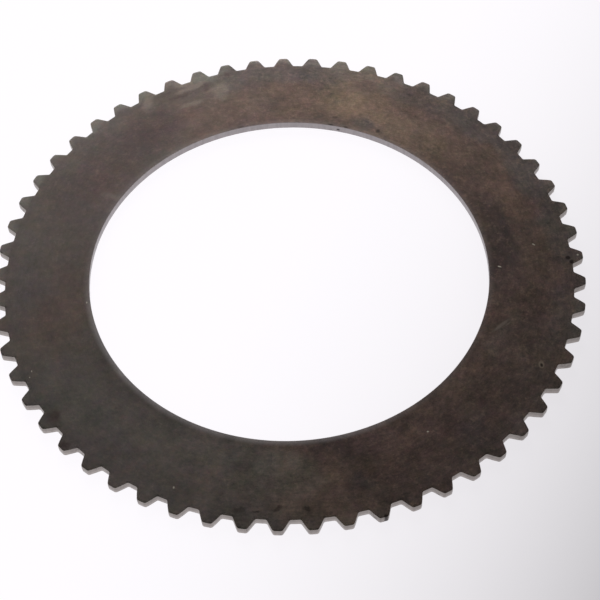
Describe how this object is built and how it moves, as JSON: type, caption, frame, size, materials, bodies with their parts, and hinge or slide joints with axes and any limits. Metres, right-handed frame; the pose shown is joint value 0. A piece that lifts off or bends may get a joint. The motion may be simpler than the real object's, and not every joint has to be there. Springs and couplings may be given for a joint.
{
  "type": "clutch disc",
  "caption": "Flat steel clutch plate: a blanked ring with short splined drive teeth round its rim and a plain round bore.",
  "frame": {"origin": "centre of the bore, on the plane of the lower face that the disc lies on", "axes": "+Z along the disc's axis, away from the lower face; +X through the middle of one tooth"},
  "size_m": [0.1841, 0.1842, 0.0025],
  "materials": {
    "blued_steel": "oil-darkened, heat-stained steel sheet with a satin sheen, bright bare steel on the sheared edges"
  },
  "bodies": {
    "root": {"clutch_disc": "blued_steel"}
  },
  "joints": []
}
